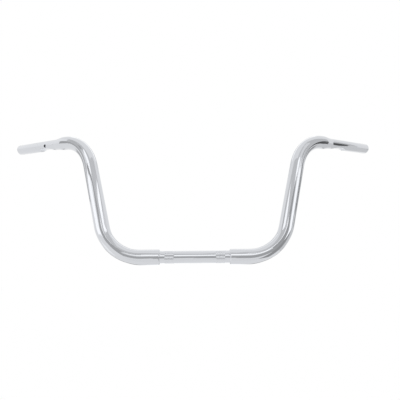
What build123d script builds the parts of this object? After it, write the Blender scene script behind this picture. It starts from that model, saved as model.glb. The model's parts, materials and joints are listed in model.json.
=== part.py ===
from build123d import *
import os
from math import cos, radians, sin

# Ape hanger handlebar for a motorbike: one chromed steel bar.
# A fat main tube rises from a thinner seat, which the risers' clamps grip, leans back and turns out
# to two thinner ends, which carry the grips and the hand controls.
# Frame in millimetres: origin at the middle of the clamp seat, X along the seat, Z up,
# Y towards the rider, as the bar stands on the bike. The rider's right hand is at -X.

# Tube sections
TUBE_D = 31.75
TUBE_WALL = 3.0
SEAT_D = 25.4
SEAT_WALL = 3.0
CONTROL_D = 25.4
CONTROL_WALL = 3.2

# Centreline, by the corners that its bends round off: each end is placed from the upper corner beside it
OVERALL_WIDTH = 934.0
BASE_WIDTH = 356.0
TOP_BACK = 110.0
TOP_RISE = 258.0
END_SPAN = 213.0
END_SWEEP = 130.0
END_DROP = 4.7
LOWER_BEND_R = 90.0
UPPER_BEND_R = 110.0

# Clamp seat: the seat's tube runs on into the main tubes, where it is welded
SEAT_LENGTH = 143.0
SEAT_INSERT = 20.0
SHOULDER_CHAMFER = 1.6

# Knurled bands of the seat, drawn plain at half the knurl's depth
KNURL_SPACING = 104.4
KNURL_WIDTH = 20.4
KNURL_DEPTH = 0.4

# Control ends, measured inwards from the open end of the bar
CONTROL_LENGTH = 122.0
NECK_LENGTH = 34.0
BORE_D = 19.4
BORE_DEPTH = 85.0
END_CHAMFER = 0.8

# Wiring dimple, pressed into the underside of each control end
DIMPLE_START = 101.0
DIMPLE_FLAT = 10.0
DIMPLE_DEPTH = 4.2
DIMPLE_OUTER_R = 7.0
DIMPLE_INNER_R = 35.0

# Round hole in the front wall of the right-hand control end, turned down from level by the tilt, in degrees
HOLE_D = 8.0
HOLE_FROM_END = 116.0
HOLE_TILT = 8.0


def centreline():
    """The runs and bends of the bar's half on +X, from the middle outwards."""
    end = OVERALL_WIDTH / 2
    path = FilletPolyline(
        (0, 0, 0),
        (BASE_WIDTH / 2, 0, 0),
        (end - END_SPAN, TOP_BACK, TOP_RISE),
        (end, TOP_BACK + END_SWEEP, TOP_RISE - END_DROP),
        radius=(LOWER_BEND_R, UPPER_BEND_R),
    )
    return path.edges()


def turned(plane, profile):
    """A solid turned about the plane's X axis. The profile is a list of (along the axis, radius)."""
    first, last = profile[0][0], profile[-1][0]
    outline = Polyline((first, 0), *profile, (last, 0), close=True)
    return revolve(plane * make_face(outline), axis=Axis(plane.origin, plane.x_dir))


def turned_both_ways(profile):
    """A solid turned about X whose two halves mirror each other. The profile runs outwards from X = 0."""
    other_half = [(-along, radius) for along, radius in reversed(profile)]
    return turned(Plane.XY, other_half + profile)


def on_both_sides(side):
    """A side of the bar with its mirror image."""
    return side + mirror(side, about=Plane.YZ)


def round_bar(runs, radius):
    """A round bar along a chain of straight runs and bends."""
    start = Plane(origin=runs[0] @ 0, z_dir=runs[0] % 0)
    return sweep(start * Circle(radius), path=Wire(runs))


def end_frame(run):
    """The frame of a control end: origin at the bar's open end, X inwards along it, Y level, Z up."""
    inwards = -(run % 1)
    level = Vector(0, 0, 1).cross(inwards)
    return Plane(origin=run @ 1, x_dir=inwards, z_dir=inwards.cross(level))


def dimple_punch(frame, wall):
    """The press tool of the wiring dimple, grown by the wall where it shapes the tube's inside."""
    flat = -(CONTROL_D / 2 - DIMPLE_DEPTH)
    outer_r = DIMPLE_OUTER_R + wall
    inner_r = DIMPLE_INNER_R + wall
    flat_end = DIMPLE_START + DIMPLE_FLAT
    below = flat - DIMPLE_INNER_R
    nose = [
        RadiusArc(
            (DIMPLE_START - outer_r, flat - DIMPLE_OUTER_R),
            (DIMPLE_START, flat + wall),
            outer_r,
        ),
        Line((DIMPLE_START, flat + wall), (flat_end, flat + wall)),
        RadiusArc((flat_end, flat + wall), (flat_end + inner_r, below), inner_r),
        Polyline(
            (flat_end + inner_r, below),
            (DIMPLE_START - outer_r, below),
            (DIMPLE_START - outer_r, flat - DIMPLE_OUTER_R),
        ),
    ]
    upright = Plane(origin=frame.origin, x_dir=frame.x_dir, z_dir=-frame.y_dir)
    return extrude(upright * make_face(nose), amount=TUBE_D, both=True)


def outer_form(runs):
    """The outside of the bar, as a solid."""
    seat_run, *bent_runs, end_run = runs
    tube_r, seat_r, control_r = TUBE_D / 2, SEAT_D / 2, CONTROL_D / 2
    shoulder = SEAT_LENGTH / 2
    knurl_r = seat_r - KNURL_DEPTH / 2
    knurl_start, knurl_end = (KNURL_SPACING - KNURL_WIDTH) / 2, (KNURL_SPACING + KNURL_WIDTH) / 2
    neck = CONTROL_LENGTH + NECK_LENGTH
    seat = turned_both_ways(
        [
            (knurl_start, seat_r),
            (knurl_start, knurl_r),
            (knurl_end, knurl_r),
            (knurl_end, seat_r),
            (shoulder, seat_r),
            (shoulder, tube_r - SHOULDER_CHAMFER),
            (shoulder + SHOULDER_CHAMFER, tube_r),
            (seat_run.length, tube_r),
        ],
    )
    frame = end_frame(end_run)
    control_end = turned(
        frame,
        [
            (0, control_r - END_CHAMFER),
            (END_CHAMFER, control_r),
            (CONTROL_LENGTH, control_r),
            (neck, tube_r),
            (end_run.length, tube_r),
        ],
    )
    control_end -= dimple_punch(frame, 0)
    return seat + on_both_sides(round_bar(bent_runs, tube_r) + control_end)


def inner_form(runs):
    """The hollow of the bar, as a solid."""
    seat_run, *bent_runs, end_run = runs
    tube_in, seat_in = TUBE_D / 2 - TUBE_WALL, SEAT_D / 2 - SEAT_WALL
    control_in, bore_r = CONTROL_D / 2 - CONTROL_WALL, BORE_D / 2
    insert_end = SEAT_LENGTH / 2 + SEAT_INSERT
    neck = CONTROL_LENGTH + NECK_LENGTH
    seat = turned_both_ways(
        [
            (insert_end, seat_in),
            (insert_end, tube_in),
            (seat_run.length, tube_in),
        ],
    )
    frame = end_frame(end_run)
    control_end = turned(
        frame,
        [
            (0, bore_r + END_CHAMFER),
            (END_CHAMFER, bore_r),
            (BORE_DEPTH, bore_r),
            (BORE_DEPTH, control_in),
            (CONTROL_LENGTH, control_in),
            (neck, tube_in),
            (end_run.length, tube_in),
        ],
    )
    control_end -= dimple_punch(frame, CONTROL_WALL)
    return seat + on_both_sides(round_bar(bent_runs, tube_in) + control_end)


def front_hole(runs):
    """The drill of the round hole in the right-hand control end, from the bar's axis out to the front."""
    frame = end_frame(runs[-1])
    front = frame.y_dir if frame.y_dir.Y < 0 else -frame.y_dir
    tilt = radians(HOLE_TILT)
    outwards = front * cos(tilt) - frame.z_dir * sin(tilt)
    drill = Plane(origin=frame.from_local_coords((HOLE_FROM_END, 0, 0)), z_dir=outwards)
    hole = drill * Cylinder(HOLE_D / 2, CONTROL_D, align=(Align.CENTER, Align.CENTER, Align.MIN))
    return mirror(hole, about=Plane.YZ)


def handlebar():
    """The whole bar: a hollow tube, mirrored about its middle apart from the round hole."""
    runs = centreline()
    return outer_form(runs) - inner_form(runs) - front_hole(runs)


os.makedirs("parts", exist_ok=True)
bar = handlebar()
export_step(bar, "parts/handlebar.step")
print("handlebar", round(bar.volume), "mm3", bar.bounding_box())
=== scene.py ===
# %% [markdown]
# # A chromed ape hanger handlebar
# The bar is one bent steel tube under bright chrome plate. It is clamped down at a thin seat in its
# middle, and from there a fatter tube climbs, leans back and turns out to two thin hollow ends.
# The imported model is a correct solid, but its facets would break up a mirror finish. So this lesson
# draws the bar again as one fine, smooth mesh, with its neck, its dimples and its lower bends a little
# closer to the photograph, and then builds the studio that chrome needs.

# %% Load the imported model
import json
import math

import bmesh
import bpy
from mathutils import Matrix, Vector

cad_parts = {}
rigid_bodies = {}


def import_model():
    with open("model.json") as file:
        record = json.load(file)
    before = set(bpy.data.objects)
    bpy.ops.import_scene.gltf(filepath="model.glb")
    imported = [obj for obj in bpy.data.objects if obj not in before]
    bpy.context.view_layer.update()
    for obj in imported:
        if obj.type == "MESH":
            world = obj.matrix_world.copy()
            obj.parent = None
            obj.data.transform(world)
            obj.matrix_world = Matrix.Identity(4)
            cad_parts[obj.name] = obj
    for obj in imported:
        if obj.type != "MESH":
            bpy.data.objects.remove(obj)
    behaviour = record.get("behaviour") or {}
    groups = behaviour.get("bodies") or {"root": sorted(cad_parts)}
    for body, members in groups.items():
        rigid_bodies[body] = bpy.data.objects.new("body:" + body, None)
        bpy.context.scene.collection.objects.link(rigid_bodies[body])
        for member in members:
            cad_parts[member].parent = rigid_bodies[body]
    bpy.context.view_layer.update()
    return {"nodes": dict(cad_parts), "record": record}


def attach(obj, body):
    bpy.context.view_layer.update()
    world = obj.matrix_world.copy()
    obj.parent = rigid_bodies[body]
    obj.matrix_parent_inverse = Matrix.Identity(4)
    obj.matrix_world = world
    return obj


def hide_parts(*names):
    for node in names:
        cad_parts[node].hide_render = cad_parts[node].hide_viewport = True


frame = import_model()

mounts = {mount["name"]: mount for mount in frame["record"]["mounts"]}
print("nodes", sorted(frame["nodes"]), "mounts", sorted(mounts))

# %% [markdown]
# ## The camera
# The photograph looks at the bar from straight ahead, from between the seat and the ends in height.
# A short lens close by gives its perspective: the ends sweep back from the camera, and look smaller
# than the seat. The place and the turn were found by lining up the bar's centreline with the photo.

# %% Set up the camera
MM = 0.001
PHOTO_WIDTH = 400
FOCAL_PIXELS = 354.2
CAMERA_PLACE = Vector((0.3, -725.4, 120.1)) * MM
CAMERA_YAW, CAMERA_PITCH, CAMERA_ROLL = math.radians(-0.867), math.radians(-0.257), math.radians(0.339)

camera_data = bpy.data.cameras.new("front_camera")
camera_data.lens = camera_data.sensor_width * FOCAL_PIXELS / PHOTO_WIDTH
camera = bpy.data.objects.new("front_camera", camera_data)
camera.matrix_world = (
    Matrix.Translation(CAMERA_PLACE)
    @ Matrix.Rotation(CAMERA_YAW, 4, "Z")
    @ Matrix.Rotation(CAMERA_PITCH, 4, "X")
    @ Matrix.Rotation(CAMERA_ROLL, 4, "Y")
    @ Matrix.Rotation(math.radians(90), 4, "X")
)
bpy.context.scene.collection.objects.link(camera)
bpy.context.scene.camera = camera
print("lens", round(camera_data.lens, 2), "mm")

# %% [markdown]
# ## The line that the tube follows
# A tube bender thinks in straight runs and bends, and so does this script. Three straight runs meet
# at two corners on each side, and each corner is rounded to the radius of the bender's die. The seat's
# and the ends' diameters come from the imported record, so they stay those that clamps and grips fit.

# %% Work out the runs and the bends
OVERALL_WIDTH, BASE_WIDTH = 934 * MM, 356 * MM
TOP_BACK, TOP_RISE = 110 * MM, 258 * MM
END_SPAN, END_SWEEP, END_DROP = 213 * MM, 130 * MM, 4.7 * MM
LOWER_BEND_R, UPPER_BEND_R = 90 * MM, 110 * MM

middle = Vector((0, 0, 0))
lower_corner = Vector((BASE_WIDTH / 2, 0, 0))
upper_corner = Vector((OVERALL_WIDTH / 2 - END_SPAN, TOP_BACK, TOP_RISE))
bar_end = upper_corner + Vector((END_SPAN, END_SWEEP, -END_DROP))


def bend_between(before, corner, after, radius):
    """Where a bend starts and ends, and the centre, axis and angle of its turn."""
    into, out = (corner - before).normalized(), (after - corner).normalized()
    angle = into.angle(out)
    axis = into.cross(out).normalized()
    setback = radius * math.tan(angle / 2)
    start = corner - into * setback
    centre = start + axis.cross(into) * radius
    return {"start": start, "end": corner + out * setback, "centre": centre, "axis": axis, "angle": angle}


lower_bend = bend_between(middle, lower_corner, upper_corner, LOWER_BEND_R)
upper_bend = bend_between(lower_corner, upper_corner, bar_end, UPPER_BEND_R)
outwards = (bar_end - upper_corner).normalized()
end_run = (bar_end - upper_bend["end"]).length
for name, bend in (("lower", lower_bend), ("upper", upper_bend)):
    print(name, "bend", round(math.degrees(bend["angle"]), 1), "degrees")

# %% [markdown]
# ## Drawing the tube out, ring by ring
# Blender could sweep a circle along a curve, but a curve's bevel has one section from end to end.
# Here the section changes: seat, fat tube, neck, thin end, and the hollow inside. So one ring of
# vertices is extruded along each straight run with a new radius where the profile asks for one, and
# spun round each bend. What is left open at the front is always the next ring to draw out.

# %% Tools that draw a ring out
AROUND = 96


def boundary(made):
    """The open ring among newly made geometry."""
    return [part for part in made if isinstance(part, bmesh.types.BMEdge) and part.is_boundary]


def draw_out(bm, ring, start, along, profile):
    """Extrudes a ring along a straight run. The profile lists (distance from the start, radius)."""
    for distance, radius in profile:
        made = bmesh.ops.extrude_edge_only(bm, edges=ring)["geom"]
        fresh = [part for part in made if isinstance(part, bmesh.types.BMVert)]
        centre = start + along * distance
        here = sum((vert.co for vert in fresh), Vector()) / len(fresh)
        bmesh.ops.translate(bm, verts=fresh, vec=centre - here)
        growth = radius / (fresh[0].co - centre).length
        bmesh.ops.scale(bm, verts=fresh, vec=Vector((growth,) * 3), space=Matrix.Translation(-centre))
        ring = boundary(made)
    return ring


def draw_round(bm, ring, bend, steps, back=False):
    """Spins a ring round a bend, or back round it from its far end."""
    verts = list(dict.fromkeys(vert for edge in ring for vert in edge.verts))
    angle = -bend["angle"] if back else bend["angle"]
    made = bmesh.ops.spin(
        bm, geom=verts + ring, cent=bend["centre"], axis=bend["axis"], angle=angle, steps=steps
    )["geom_last"]
    return [part for part in made if isinstance(part, bmesh.types.BMEdge)]


print("a ring has", AROUND, "points")

# %% [markdown]
# ## The outside of the seat and the fat tube
# The seat has two knurled bands, where the clamps bite, so it gets close rings there for the knurl
# to come. At its ends the fat tubes start with a chamfered shoulder, and follow the bends up and out.
# The two sides of the bar are nearly alike, so only the half towards the rider's left is drawn here.

# %% Draw the seat, the shoulder and the two bends
TUBE_R = 15.875 * MM
SEAT_R = mounts["riser_clamp"]["dims"]["r_mm"] * MM
KNURL_START, KNURL_ROW, KNURL_ROWS = 42 * MM, 0.85 * MM, 24
SHOULDER, SHOULDER_CHAMFER = 71.5 * MM, 1.6 * MM
LOWER_BEND_STEPS, UPPER_BEND_STEPS = 44, 40

bm = bmesh.new()
across_x = Matrix.Rotation(math.radians(90), 4, "Y")
bmesh.ops.create_circle(bm, segments=AROUND, radius=SEAT_R, matrix=across_x)

along_x = Vector((1, 0, 0))
knurl_rows = [(KNURL_START + row * KNURL_ROW, SEAT_R) for row in range(KNURL_ROWS + 1)]
shoulder_profile = [
    (SHOULDER, SEAT_R),
    (SHOULDER, TUBE_R - SHOULDER_CHAMFER),
    (SHOULDER + SHOULDER_CHAMFER, TUBE_R),
    (lower_bend["start"].length, TUBE_R),
]
ring = draw_out(bm, bm.edges[:], middle, along_x, knurl_rows + shoulder_profile)
ring = draw_round(bm, ring, lower_bend, LOWER_BEND_STEPS)
riser = upper_bend["start"] - lower_bend["end"]
ring = draw_out(bm, ring, lower_bend["end"], riser.normalized(), [(riser.length, TUBE_R)])
ring = draw_round(bm, ring, upper_bend, UPPER_BEND_STEPS)
print("seat and fat tube", len(bm.faces), "faces")

# %% [markdown]
# ## The outside of the neck and the thin end
# Past the upper bend the tube is swaged down to one inch, the width that grips and hand controls fit.
# A plain cone would show a hard ring at each end of the neck. Swaging leaves a soft one, so its radius
# eases in and out. The thin end has close rings where a dimple will be pressed in.

# %% Draw the neck and the thin end
CONTROL_R = mounts["left_control_end"]["dims"]["r_mm"] * MM
CONTROL_LENGTH, NECK_LENGTH, END_CHAMFER = 145 * MM, 32 * MM, 0.8 * MM
DIMPLE_RINGS_FROM, RING_STEP = 82 * MM, 0.8 * MM


def eased(share):
    """A share from 0 to 1 that starts and stops softly."""
    return share * share * (3 - 2 * share)


def neck_radius(from_end, thin, fat):
    """The radius of a tube that is swaged from fat to thin, by the distance from the bar's end."""
    share = (from_end - CONTROL_LENGTH) / NECK_LENGTH
    return thin + (fat - thin) * eased(min(max(share, 0), 1))


neck_end = CONTROL_LENGTH + NECK_LENGTH
close_rings = int((neck_end - DIMPLE_RINGS_FROM) / RING_STEP)
from_end = [neck_end - step * RING_STEP for step in range(close_rings + 1)]
end_profile = [(end_run - far, neck_radius(far, CONTROL_R, TUBE_R)) for far in from_end]
end_profile += [(end_run - END_CHAMFER, CONTROL_R)]
ring = draw_out(bm, ring, upper_bend["end"], outwards, end_profile)
print("outside", len(bm.faces), "faces")

# %% [markdown]
# ## The open end and the hollow
# The bar is a tube, and its ends are open for bar-end weights or a throttle's wires. The last ring
# turns in over a small chamfer on each side of the wall, and then the same ring is drawn back all the
# way to the middle of the seat. That gives the wall its real thickness, and the model stays one
# closed skin. The hollow hardly shows, so its bends take half as many steps. Plating doesn't reach far
# into a tube, so the hollow gets a material of its own.

# %% Turn the end in and draw the hollow
TUBE_WALL, SEAT_WALL, CONTROL_WALL = 3.0 * MM, 3.0 * MM, 3.2 * MM
SEAT_INSERT = 20 * MM
BORE_R = mounts["left_end_bore"]["dims"]["r_mm"] * MM
BORE_DEPTH = END_CHAMFER + mounts["left_end_bore"]["dims"]["length_mm"] * MM
CHROME, STEEL = 0, 1

lip = [(0, CONTROL_R - END_CHAMFER), (0, BORE_R + END_CHAMFER), (END_CHAMFER, BORE_R)]
ring = draw_out(bm, ring, bar_end, -outwards, lip)
plated = set(bm.faces)

tube_in, control_in = TUBE_R - TUBE_WALL, CONTROL_R - CONTROL_WALL
hollow_rings = int((neck_end - BORE_DEPTH) / RING_STEP)
far_in = [BORE_DEPTH + step * RING_STEP for step in range(hollow_rings + 1)]
hollow = [(BORE_DEPTH, BORE_R)]
hollow += [(far, neck_radius(far, control_in, tube_in)) for far in far_in]
hollow += [(end_run, tube_in)]
ring = draw_out(bm, ring, bar_end, -outwards, hollow)
ring = draw_round(bm, ring, upper_bend, UPPER_BEND_STEPS // 2, back=True)
ring = draw_out(bm, ring, upper_bend["start"], -riser.normalized(), [(riser.length, tube_in)])
ring = draw_round(bm, ring, lower_bend, LOWER_BEND_STEPS // 2, back=True)
insert_end, seat_in = SHOULDER + SEAT_INSERT, SEAT_R - SEAT_WALL
inner_seat = [(insert_end, tube_in), (insert_end, seat_in), (0, seat_in)]
draw_out(bm, ring, middle, along_x, inner_seat)
for face in bm.faces:
    face.material_index = CHROME if face in plated else STEEL
print("with the hollow", len(bm.faces), "faces")

# %% [markdown]
# ## Softening the hard edges
# Chrome shows an edge by the thin bright line along it, and a mathematically sharp edge has none.
# So every ring where the surface turns by more than a third of a right angle gets a small round. A
# Bevel modifier would meet the hole as well, whose cut leaves thin faces that don't bevel cleanly. So
# the rings are rounded now, while they are plain.

# %% Bevel the shoulders and the lips of the ends
EDGE_ROUND = 0.3 * MM
HARD_ANGLE = math.radians(30)

hard = [edge for edge in bm.edges if edge.is_manifold and edge.calc_face_angle() > HARD_ANGLE]
bmesh.ops.bevel(
    bm, geom=hard, offset=EDGE_ROUND, offset_type="OFFSET",
    affect="EDGES", segments=2, profile=0.5, material=-1,
)
print("rounded", len(hard) // AROUND, "rings of edges")

# %% [markdown]
# ## A bend flattens the tube
# Bending stretches a tube's outer wall, which gives way inwards, so the section turns slightly oval. In
# the photograph the lower bends are about a sixteenth thinner than the straight runs. A lattice could
# press them, but moving the points is plainer: each is drawn towards the centreline, in the plane of
# the bend, and less and less over the first and the last quarter of the turn.

# %% Flatten the lower bend
FLATTENING, FADE_SHARE = 0.06, 0.25

to_start = lower_bend["start"] - lower_bend["centre"]
flattened = 0
for vert in bm.verts:
    arm = vert.co - lower_bend["centre"]
    arm -= lower_bend["axis"] * arm.dot(lower_bend["axis"])
    turned = math.atan2(to_start.cross(arm).dot(lower_bend["axis"]), to_start.dot(arm))
    share = turned / lower_bend["angle"]
    if 0 < share < 1:
        press = FLATTENING * eased(min(1, share / FADE_SHARE, (1 - share) / FADE_SHARE))
        vert.co -= arm * (1 - LOWER_BEND_R / arm.length) * press
        flattened += 1
print("flattened", flattened, "points")

# %% [markdown]
# ## The other half
# Apart from a hole and the dimples, the bar is the same on both sides. A Mirror modifier would do, but
# the dimples come next and each side has its own, so the mesh itself is mirrored. Mirroring turns a
# surface inside out, and the two halves meet in a double ring, so the doubles are merged and the
# normals are worked out again.

# %% Mirror the half
MERGE_DISTANCE = 0.01 * MM

half = bm.verts[:] + bm.edges[:] + bm.faces[:]
bmesh.ops.mirror(bm, geom=half, matrix=Matrix.Identity(4), merge_dist=MERGE_DISTANCE, axis="X")
bmesh.ops.remove_doubles(bm, verts=bm.verts, dist=MERGE_DISTANCE)
bmesh.ops.recalc_face_normals(bm, faces=bm.faces)
print("whole bar", len(bm.faces), "faces, open edges", sum(not edge.is_manifold for edge in bm.edges))

# %% [markdown]
# ## The wiring dimples
# Under each thin end the tube is pressed in, to make room for the wires of the switch housing that is
# clamped round it. A press tool has a blunt nose at the hand's side and a long ramp towards the neck.
# A Boolean would cut the wall open where a press only bends it. So the close rings are pushed up to
# the tool's face, with a soft edge where the metal folds, and the inner wall follows the outer one.
# Each end was pressed by itself: in the photograph the dimple on the left starts nearer the hand, and
# is deeper.

# %% Press the dimples
# The sign of X names the end; its dimple starts so far from the tip, and is so deep
DIMPLES = {-1: (95 * MM, 5.6 * MM), 1: (101 * MM, 4.2 * MM)}
DIMPLE_RINGS_TO = 148 * MM
DIMPLE_FLAT, DIMPLE_SOFTNESS = 10 * MM, 0.6 * MM
DIMPLE_NOSE_R, DIMPLE_RAMP_R = 7 * MM, 110 * MM
inwards = -outwards
level = Vector((0, 0, 1)).cross(inwards).normalized()
upright = inwards.cross(level)


def tool_height(far, wall, start, depth):
    """How high the press tool reaches, below the tube's axis, at a distance from the bar's end."""
    flat = depth - CONTROL_R + wall
    nose, ramp = start - far, far - start - DIMPLE_FLAT
    over, radius = (nose, DIMPLE_NOSE_R + wall) if nose > 0 else (max(ramp, 0), DIMPLE_RAMP_R + wall)
    if over >= radius:
        return -TUBE_R
    return flat - radius + math.sqrt(radius * radius - over * over)


pressed = 0
for vert in bm.verts:
    side = 1 if vert.co.x > 0 else -1
    place = Vector((vert.co.x * side, vert.co.y, vert.co.z)) - bar_end
    far, height = place.dot(inwards), place.dot(upright)
    if not DIMPLE_RINGS_FROM < far < DIMPLE_RINGS_TO or height > 0:
        continue
    radius = (place - inwards * far).length
    wall = 0 if radius > CONTROL_R - CONTROL_WALL / 2 else CONTROL_WALL
    push = tool_height(far, wall, *DIMPLES[side]) - height
    if push > -DIMPLE_SOFTNESS:
        # A parabola joins the untouched metal to the pressed metal without a crease
        soft = (push + DIMPLE_SOFTNESS) ** 2 / (4 * DIMPLE_SOFTNESS)
        way = Vector((upright.x * side, upright.y, upright.z))
        vert.co += way * (soft if push < DIMPLE_SOFTNESS else push)
        pressed += 1
print("pressed", pressed, "points")

# %% [markdown]
# ## The knurl
# A knurling wheel rolls two sets of slanted grooves into the seat, and leaves a field of small
# pyramids. The close rings of the seat are a chessboard of points already: every second point is
# where two grooves cross, and the others are the pyramids' tips. So the crossings are pushed in, and
# each square is split along its groove. A real knurl is a little finer: this one is drawn coarser, so
# that it shows.

# %% Roll the knurl
KNURL_DEPTH = 0.2 * MM

crossings = []
for vert in bm.verts:
    row = (abs(vert.co.x) - KNURL_START) / KNURL_ROW
    radius = math.hypot(vert.co.y, vert.co.z)
    if not 0.5 < row < KNURL_ROWS - 0.5 or radius < SEAT_R - KNURL_DEPTH:
        continue
    column = math.atan2(vert.co.z, vert.co.y) / math.tau * AROUND
    if (round(row) + round(column)) % 2 == 0:
        crossings.append(vert)
for vert in crossings:
    vert.co.yz *= 1 - KNURL_DEPTH / SEAT_R
bmesh.ops.connect_verts(bm, verts=crossings)
print("knurl", len(crossings), "groove crossings")

# %% [markdown]
# ## The finished piece
# So far the bar was geometry in memory. It becomes a mesh and an object, which stays at the origin,
# unturned and unscaled: the bar's place is in its mesh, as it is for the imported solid.

# %% Make the object
bar_mesh = bpy.data.meshes.new("handlebar_skin")
bm.to_mesh(bar_mesh)
bm.free()
bar = bpy.data.objects.new("handlebar_skin", bar_mesh)
bpy.context.scene.collection.objects.link(bar)
print("bar", len(bar_mesh.polygons), "faces at", list(bar.location))

# %% [markdown]
# ## Its one hole
# One end has a round hole in its front wall, for wires or for the locating peg of a control. A
# cylinder is the plainest drill, so a Boolean modifier cuts with one and is then applied. The wall
# that the drill leaves is bare steel. Smooth shading rounds the tube, and edges that turn sharply stay
# crisp.

# %% Drill the hole
HOLE_SEGMENTS = 48
SHARP_ANGLE = math.radians(28)
hole = mounts["front_hole"]
hole_place, hole_axis = Vector(hole["pos_m"]), Vector(hole["axis"])
hole_r = hole["dims"]["r_mm"] * MM

drill_bm = bmesh.new()
drill_turn = hole_axis.to_track_quat("Z", "Y").to_matrix().to_4x4()
bmesh.ops.create_cone(
    drill_bm, cap_ends=True, segments=HOLE_SEGMENTS, radius1=hole_r, radius2=hole_r, depth=CONTROL_R,
    matrix=Matrix.Translation(hole_place) @ drill_turn,
)
drill_mesh = bpy.data.meshes.new("drill")
drill_bm.to_mesh(drill_mesh)
drill_bm.free()
drill = bpy.data.objects.new("drill", drill_mesh)
bpy.context.scene.collection.objects.link(drill)

cut = bar.modifiers.new("hole", "BOOLEAN")
cut.operation, cut.solver, cut.object = "DIFFERENCE", "EXACT", drill
drilled = bpy.data.meshes.new_from_object(bar.evaluated_get(bpy.context.evaluated_depsgraph_get()))
bar.modifiers.remove(cut)
bar.data = drilled
bpy.data.objects.remove(drill)
for face in drilled.polygons:
    offset = face.center - hole_place
    from_axis = offset - hole_axis * offset.dot(hole_axis)
    if from_axis.length < hole_r and offset.length < hole_r + CONTROL_WALL:
        face.material_index = STEEL
drilled.shade_smooth()
drilled.set_sharp_from_angle(angle=SHARP_ANGLE)
print("drilled bar", len(drilled.polygons), "faces")

# %% [markdown]
# ## Materials
# Two finishes are enough. Colours are written as they look on a screen, in sRGB hex, and one function
# turns them to the linear values that Blender works with. One more function adds a node, sets it and
# links it, so that each material below reads as a short list.

# %% Colour and node helpers


def linear(hex_colour):
    """An sRGB hex colour as linear red, green, blue and alpha."""
    channels = [int(hex_colour[place : place + 2], 16) / 255 for place in (1, 3, 5)]
    return [c / 12.92 if c <= 0.04045 else ((c + 0.055) / 1.055) ** 2.4 for c in channels] + [1.0]


def add_node(tree, kind, inputs=None, **settings):
    """Adds a node, with its settings and its inputs: a socket is linked, and a value is set."""
    node = tree.nodes.new(kind)
    for name, value in settings.items():
        setattr(node, name, value)
    for name, value in (inputs or {}).items():
        if isinstance(value, bpy.types.NodeSocket):
            tree.links.new(value, node.inputs[name])
        else:
            node.inputs[name].default_value = value
    return node


def new_material(name):
    """A material with an empty node tree."""
    material = bpy.data.materials.new(name)
    material.use_nodes = True
    material.node_tree.nodes.clear()
    return material


print("white is", linear("#FFFFFF"))

# %% [markdown]
# ### Polished chrome plate
# Bright chrome over buffed nickel is close to a mirror, with a faint cool tint. What tells it from a
# perfect mirror is the buffing below it: a slow waviness that bends the edges of what it reflects, and
# patches that are a little less clear. Both patterns are in millimetres, on the bar's own coordinates.

# %% Make the chrome
WAVE_SIZE, HAZE_SIZE = 14.0, 35.0
WAVE_HEIGHT = 0.2 * MM
CLEAREST, HAZIEST = 0.04, 0.09
# Pattern sizes are in millimetres, and a noise's scale counts its features in a metre
PER_METRE = 1000

chrome = new_material("polished_chrome_plate")
tree = chrome.node_tree
where = add_node(tree, "ShaderNodeTexCoord").outputs["Object"]
# The waves of the buffing make the edges of a reflection wander
waves = add_node(
    tree, "ShaderNodeTexNoise", {"Vector": where, "Scale": PER_METRE / WAVE_SIZE, "Detail": 1.0}
)
ripple = add_node(
    tree, "ShaderNodeBump", {"Height": waves.outputs["Fac"], "Strength": 0.05, "Distance": WAVE_HEIGHT}
)
# The haze makes some patches of the mirror less clear than others
haze = add_node(
    tree, "ShaderNodeTexNoise", {"Vector": where, "Scale": PER_METRE / HAZE_SIZE, "Detail": 3.0}
)
clarity = add_node(
    tree, "ShaderNodeMapRange",
    {
        "Value": haze.outputs["Fac"],
        "From Min": 0.3,
        "From Max": 0.7,
        "To Min": CLEAREST,
        "To Max": HAZIEST,
    },
)
plate = add_node(
    tree, "ShaderNodeBsdfPrincipled",
    {
        "Base Color": linear("#D3D5D9"),
        "Metallic": 1.0,
        "Roughness": clarity.outputs["Result"],
        "Normal": ripple.outputs["Normal"],
    },
)
add_node(tree, "ShaderNodeOutputMaterial", {"Surface": plate.outputs["BSDF"]})
print("chrome nodes", len(tree.nodes))

# %% [markdown]
# ### Bare drawn steel
# Inside the tube the steel is as it came from the mill: dull, dark and a little brown, with streaks
# along the drawing direction that are too fine to matter here. It makes the hole and the open ends
# read as dark.

# %% Make the steel and dress the bar
SCALE_PATCH = 6.0
MILL_ROUGHNESS = 0.55

steel = new_material("bare_drawn_steel")
tree = steel.node_tree
where = add_node(tree, "ShaderNodeTexCoord").outputs["Object"]
# Patches of mill scale, darker and lighter, keep the inside from looking like one flat black
patches = add_node(
    tree, "ShaderNodeTexNoise", {"Vector": where, "Scale": PER_METRE / SCALE_PATCH, "Detail": 4.0}
)
tone = add_node(
    tree, "ShaderNodeMix",
    {"Factor": patches.outputs["Fac"], "A": linear("#262524"), "B": linear("#3D3A37")},
    data_type="RGBA",
)
mill = add_node(
    tree, "ShaderNodeBsdfPrincipled",
    {"Base Color": tone.outputs["Result"], "Metallic": 1.0, "Roughness": MILL_ROUGHNESS},
)
add_node(tree, "ShaderNodeOutputMaterial", {"Surface": mill.outputs["BSDF"]})

bar.data.materials.clear()
bar.data.materials.append(chrome)
bar.data.materials.append(steel)
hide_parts("handlebar")
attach(bar, "root")
print("slots", [slot.material.name for slot in bar.material_slots])

# %% [markdown]
# ## The studio
# Chrome has hardly a colour of its own: it shows the room. In the photograph that room is a white tent
# with bright panels at both sides and overhead, and darker gaps and flags between them. Here each one
# is a flat card that faces the bar, given by its brightness, its direction, its size and its tilt.
# Cards show in the chrome alone: the camera, the floor and the shadows don't know of them.

# %% Make a card
STUDIO_CENTRE = Vector((0, 60, 130)) * MM
CARD_DISTANCE, CARD_STEP = 2.0, 0.01


def cards_hung():
    """How many cards the studio has so far."""
    return sum(thing.name.startswith("card_") for thing in bpy.data.objects)


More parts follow.
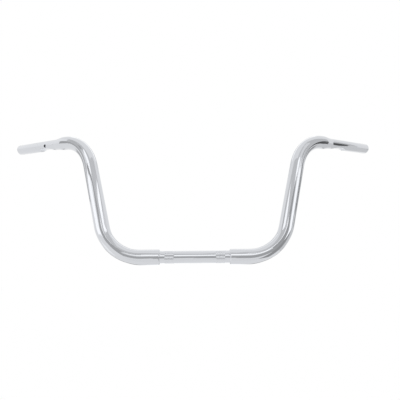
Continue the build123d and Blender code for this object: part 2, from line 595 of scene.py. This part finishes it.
def studio_card(name, brightness, azimuth, elevation, width, height, tilt=0, distance=None):
    """A card in degrees and metres. Azimuth 0 is the camera's side, and a later card hangs in front."""
    distance = distance or CARD_DISTANCE - CARD_STEP * cards_hung()
    place = (
        Matrix.Translation(STUDIO_CENTRE)
        @ Matrix.Rotation(math.radians(azimuth), 4, "Z")
        @ Matrix.Rotation(math.radians(-elevation), 4, "X")
        @ Matrix.Translation((0, -distance, 0))
        @ Matrix.Rotation(math.radians(-tilt), 4, "Y")
        @ Matrix.Rotation(math.radians(90), 4, "X")
        @ Matrix.Diagonal((width / 2, height / 2, 1, 1))
    )
    card_bm = bmesh.new()
    bmesh.ops.create_grid(card_bm, x_segments=1, y_segments=1, size=1, matrix=place)
    mesh = bpy.data.meshes.new(name)
    card_bm.to_mesh(mesh)
    card_bm.free()
    glow = new_material(name)
    shine = add_node(glow.node_tree, "ShaderNodeEmission", {"Strength": brightness})
    add_node(glow.node_tree, "ShaderNodeOutputMaterial", {"Surface": shine.outputs["Emission"]})
    mesh.materials.append(glow)
    card = bpy.data.objects.new("card_" + name, mesh)
    bpy.context.scene.collection.objects.link(card)
    card.visible_camera = card.visible_diffuse = card.visible_shadow = False


print("the first card hangs", CARD_DISTANCE, "m off, and each later one", CARD_STEP, "m nearer")

# %% [markdown]
# ### The tent's own shades
# The cloth of a tent isn't equally bright all round. It is a little grey over the table, darker high up
# and at its seams, and lit through where a lamp stands behind it. These soft differences are what keeps
# the edges of the tubes from vanishing into the white behind them.

# %% Shade the tent
studio_card("table_top", 0.97, -3, -40, 2.4, 1.4, -2)
studio_card("back_left_cloth", 1.08, -105, 24, 1.3, 0.92, 3)
studio_card("low_left_cloth", 1.2, -86, -28, 0.65, 1.0, -26)
studio_card("high_left_cloth", 0.74, -50, 58, 3.06, 0.84, 17)
studio_card("left_pole", 0.5, -84, 33, 0.18, 1.05, -20)
studio_card("high_right_cloth", 0.7, 77, 36, 1.25, 2.4, 6)
studio_card("left_seam", 0.66, -86, 28, 0.36, 1.36, 22)
studio_card("back_left_seam", 0.6, -117, 5, 0.92, 0.33, 14)
studio_card("right_wall", 0.8, 104, -16, 1.93, 1.34)
studio_card("back_right_seam", 0.42, 113, 1, 0.6, 0.45)
print("the tent has", cards_hung(), "cards")

# %% [markdown]
# ### Soft boxes overhead
# Three wide lamps look down over the front of the table. They draw the bright line along the top of the
# seat, and the thin bright line on the inner side of each riser.

# %% Hang the soft boxes
studio_card("left_soft_box", 1.42, -48, 47, 1.0, 0.63, -10)
studio_card("right_soft_box", 1.46, 51, 57, 1.26, 0.64, 23)
studio_card("front_soft_box", 1.5, 1, 37, 1.36, 0.42, -3)
print("with the soft boxes", cards_hung(), "cards")

# %% [markdown]
# ### Flags beside the camera
# A photographer hangs dark boards, called flags, beside the camera. A tube squeezes each one into a long
# dark line, and such a line next to a bright one is what makes the eye read chrome and not white paint.

# %% Set up the flags
studio_card("low_right_flag", 0.4, 61, -14, 1.14, 2.4, -12)
studio_card("tall_right_flag", 0.46, 35, 26, 0.63, 1.72, 20)
studio_card("tall_left_flag", 0.52, -30, 30, 0.59, 1.25, -13)
studio_card("camera_left_flag", 0.52, -17, 2, 1.24, 0.94, 11)
studio_card("camera_right_flag", 0.5, 26, 3, 1.89, 1.18, 2)
print("with the flags", cards_hung(), "cards")

# %% [markdown]
# ### Side panels
# One bright panel on each side gives each riser its wide white band. Round their outer corners the tent
# leaves narrow dark gaps, which edge these bands and those of the soft boxes.

# %% Put up the side panels and their gaps
studio_card("left_panel", 1.44, -67, 16, 1.31, 0.7, 33)
studio_card("right_panel", 1.43, 65, 19, 0.82, 1.09, -2)
studio_card("left_gap", 0.42, -51, 38, 1.15, 0.08, 30)
studio_card("right_gap", 0.55, 74, 33, 0.28, 0.41, -31)
studio_card("high_right_gap", 0.75, 58, 67, 1.13, 0.52, -3)
print("with the side panels", cards_hung(), "cards")

# %% [markdown]
# ### The back of the room
# A part is looked at from all sides, and chrome that sees nothing but white cloth looks like paint. So
# the back of the room gets a few boards too, high and low. The photograph's view hardly meets them: from
# there they only show in the outermost edges of the tubes.

# %% Stand boards at the back
studio_card("back_soft_box", 1.4, 180, 40, 1.8, 0.4)
studio_card("back_flag", 0.5, 180, 27, 1.5, 0.16)
for side, sign in (("left", -1), ("right", 1)):
    studio_card(f"back_{side}_flag", 0.45, 148 * sign, -38, 0.5, 1.1, 20 * sign)
    studio_card(f"back_{side}_panel", 1.4, 172 * sign, -46, 0.3, 0.9, 20 * sign)
print("with the back of the room", cards_hung(), "cards")

# %% [markdown]
# ### Three small cards close to the bar
# The photograph shows a short black streak on one end and a grey one on the other. They break off at the
# neck, where the surface turns away, and they run on round the bend. Streaks that short are something
# small and near, so two flags stand about a quarter of a metre from the ends. A piece of the tent's
# cloth hangs nearly as close over one upper bend, and keeps the soft box from showing there.

# %% Place the small cards
studio_card("near_right_cloth", 0.92, 77, 44, 0.26, 0.2, distance=0.64)
studio_card("near_left_flag", 0.5, -92.6, 15.5, 0.05, 0.17, 3, distance=0.72)
studio_card("near_right_flag", 0.12, 94.7, 8, 0.08, 0.19, -5, distance=0.71)
print("with the small cards", cards_hung(), "cards")

# %% [markdown]
# ### The white floor and tent
# The photograph's background is pure white. A white sheet under a white tent of strength one sends
# back as much light as falls on it, so it looks white by itself, and no light has to be poured on the
# bar to bleach what is behind it. The sheet lies far below the bar, so that the bar's shade on it is too
# soft to see.

# %% Lay the floor and light the world
FLOOR_DROP = 1.6
FLOOR_HALF_WIDTH = 6.0

floor_bm = bmesh.new()
floor_place = Matrix.Translation((0, 0, -FLOOR_DROP))
bmesh.ops.create_grid(floor_bm, x_segments=1, y_segments=1, size=FLOOR_HALF_WIDTH, matrix=floor_place)
floor_mesh = bpy.data.meshes.new("pale_floor")
floor_bm.to_mesh(floor_mesh)
floor_bm.free()
floor = bpy.data.objects.new("pale_floor", floor_mesh)
bpy.context.scene.collection.objects.link(floor)

paper = new_material("white_paper_sweep")
matte = add_node(paper.node_tree, "ShaderNodeBsdfDiffuse", {"Color": linear("#FFFFFF")})
add_node(paper.node_tree, "ShaderNodeOutputMaterial", {"Surface": matte.outputs["BSDF"]})
floor_mesh.materials.append(paper)

world = bpy.data.worlds.new("white_tent")
bpy.context.scene.world = world
world.use_nodes = True
world.node_tree.nodes.clear()
sky = add_node(world.node_tree, "ShaderNodeBackground", {"Color": linear("#FFFFFF"), "Strength": 1.0})
add_node(world.node_tree, "ShaderNodeOutputWorld", {"Surface": sky.outputs["Background"]})
bpy.context.scene.view_settings.view_transform = "Standard"
print("floor at", -FLOOR_DROP, "m")
